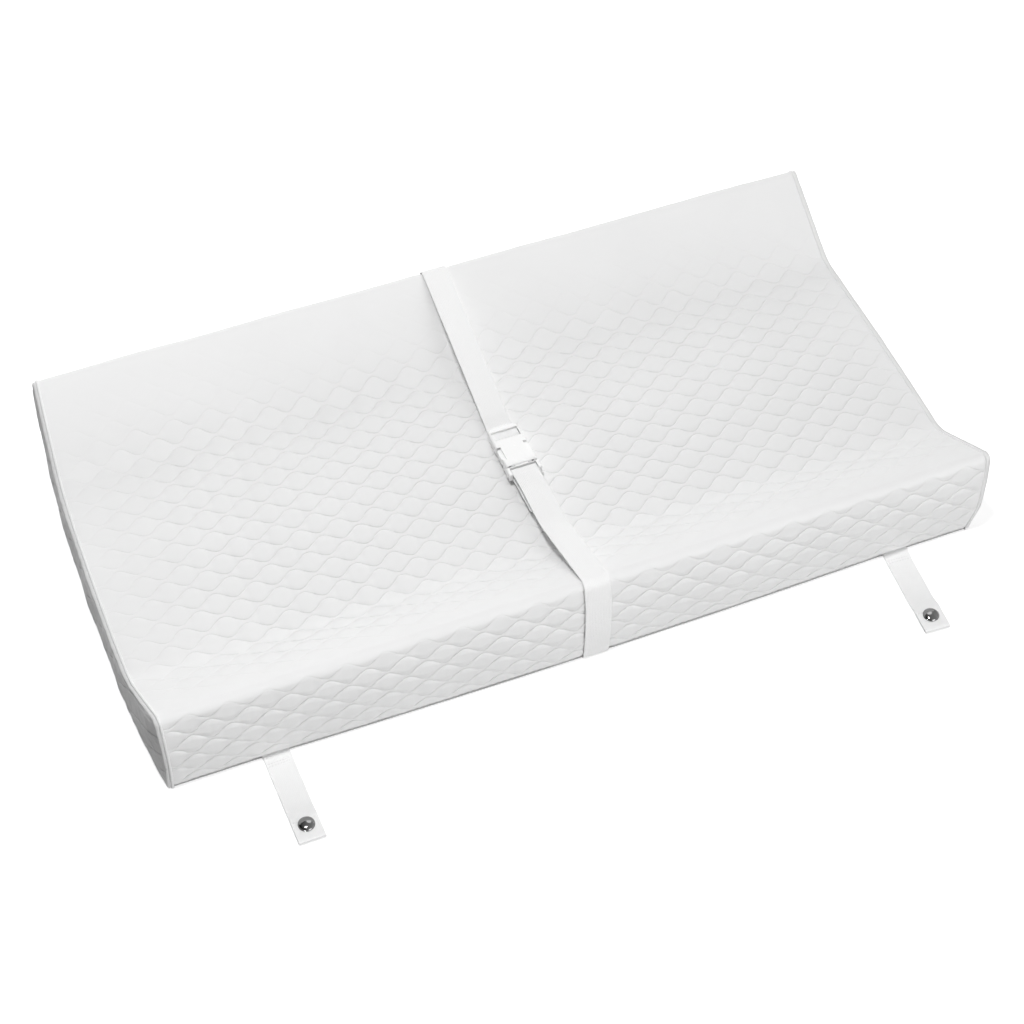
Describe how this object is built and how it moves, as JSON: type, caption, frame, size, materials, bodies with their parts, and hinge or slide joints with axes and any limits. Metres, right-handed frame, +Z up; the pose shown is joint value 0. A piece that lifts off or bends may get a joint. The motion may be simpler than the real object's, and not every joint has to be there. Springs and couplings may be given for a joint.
{
  "type": "changing pad",
  "caption": "Contoured foam changing pad with a quilted cover, a webbing safety belt with a side-release buckle, and furniture straps with snaps.",
  "frame": {"origin": "centre of the flat underside of the pad", "axes": "+X along the pad's length, +Y towards the back long side (the furniture straps leave the front, -Y), +Z up"},
  "size_m": [0.787, 0.5078, 0.1039],
  "materials": {
    "quilted_vinyl": "soft satin quilted vinyl",
    "welt_vinyl": "soft satin vinyl",
    "base_cloth": "plain coated cloth",
    "foam": "polyurethane foam",
    "webbing": "woven webbing",
    "buckle_plastic": "smooth moulded acetal",
    "snap_metal": "polished nickel plate"
  },
  "bodies": {
    "pad": {"quilted_cover": "quilted_vinyl", "end_panel_left": "quilted_vinyl", "end_panel_right": "quilted_vinyl", "end_welt_left": "welt_vinyl", "end_welt_right": "welt_vinyl", "foam_core": "foam", "base_panel": "base_cloth", "belt_front": "webbing", "belt_rear": "webbing", "buckle_housing": "buckle_plastic", "anchor_tab_left": "webbing", "anchor_tab_right": "webbing"},
    "belt_fold_lower": {"belt_fold_lower": "webbing"},
    "belt_fold_upper": {"belt_fold_upper": "webbing"},
    "buckle_insert": {"buckle_insert": "buckle_plastic", "belt_tail": "webbing"},
    "release_arm_left": {"release_arm_left": "buckle_plastic"},
    "release_arm_right": {"release_arm_right": "buckle_plastic"},
    "anchor_strap_left": {"anchor_strap_left": "webbing", "snap_cap_left": "snap_metal", "snap_socket_left": "snap_metal"},
    "anchor_strap_right": {"anchor_strap_right": "webbing", "snap_cap_right": "snap_metal", "snap_socket_right": "snap_metal"}
  },
  "joints": [
    {"name": "belt_release", "type": "hinge", "parent": "pad", "child": "belt_fold_lower", "pos_m": [0.004, -0.10423, 0.071], "axis": [1, 0, 0], "range_deg": [0, 52], "deforming": ["release_arm_left", "release_arm_right"]},
    {"name": "belt_fold", "type": "hinge", "parent": "belt_fold_lower", "child": "belt_fold_upper", "pos_m": [0.004, -0.06937, 0.06795], "axis": [1, 0, 0], "range_deg": [-104.5, 0]},
    {"name": "strap_bar_pivot", "type": "hinge", "parent": "belt_fold_upper", "child": "buckle_insert", "pos_m": [0.004, -0.0345, 0.0649], "axis": [1, 0, 0], "range_deg": [0, 52.5]},
    {"name": "release_arm_left_squeeze", "type": "hinge", "parent": "buckle_insert", "child": "release_arm_left", "pos_m": [-0.0045, -0.02633, 0.06419], "axis": [0, -0.0872, -0.9962], "range_deg": [0, 10]},
    {"name": "release_arm_right_squeeze", "type": "hinge", "parent": "buckle_insert", "child": "release_arm_right", "pos_m": [0.0125, -0.02633, 0.06419], "axis": [0, 0.0872, 0.9962], "range_deg": [0, 10]},
    {"name": "anchor_strap_left_swing", "type": "hinge", "parent": "pad", "child": "anchor_strap_left", "pos_m": [-0.2965, -0.206, 0.002], "axis": [0.9998, 0.0209, 0], "range_deg": [-80, 90]},
    {"name": "anchor_strap_right_swing", "type": "hinge", "parent": "pad", "child": "anchor_strap_right", "pos_m": [0.3095, -0.206, 0.002], "axis": [0.9984, -0.0558, 0], "range_deg": [-80, 90]}
  ],
  "couplings": [
    {"joint": "belt_fold", "follows": "belt_release", "ratio": -2},
    {"joint": "strap_bar_pivot", "follows": "belt_release", "ratio": 1},
    {"joint": "release_arm_right_squeeze", "follows": "release_arm_left_squeeze", "ratio": 1}
  ]
}
